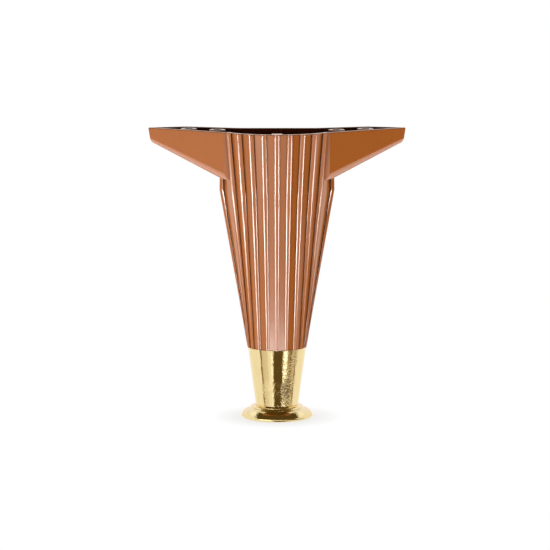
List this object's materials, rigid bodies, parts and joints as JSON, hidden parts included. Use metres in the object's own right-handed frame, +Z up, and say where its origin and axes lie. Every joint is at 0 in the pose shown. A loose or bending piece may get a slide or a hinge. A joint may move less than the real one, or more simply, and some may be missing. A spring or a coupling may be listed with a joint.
{
  "type": "plastic sofa leg",
  "caption": "Moulded sofa leg: fluted tapering column with swept-back hollow wings and screw tubes on top, standing in a gold-plated flanged foot cup.",
  "frame": {"origin": "point where the column's axis meets the floor, at the centre of the foot's sole", "axes": "+Z up along the column, -Y towards the fluted front, +Y towards the swept-back wing ends, X across from wing to wing; the leg is the same on both sides of X = 0"},
  "size_m": [0.1344, 0.0475, 0.15],
  "materials": {
    "body_plastic": "copper-brown moulded ABS, glossy with a faint metallic sheen",
    "gold_plating": "mirror gold electroplating on moulded ABS",
    "screw_steel": "bright zinc-plated steel",
    "pad_rubber": "matt black rubber"
  },
  "bodies": {
    "root": {"leg_body": "body_plastic", "foot_cup": "gold_plating", "foot_screw": "screw_steel", "glide_pad": "pad_rubber"}
  },
  "joints": []
}
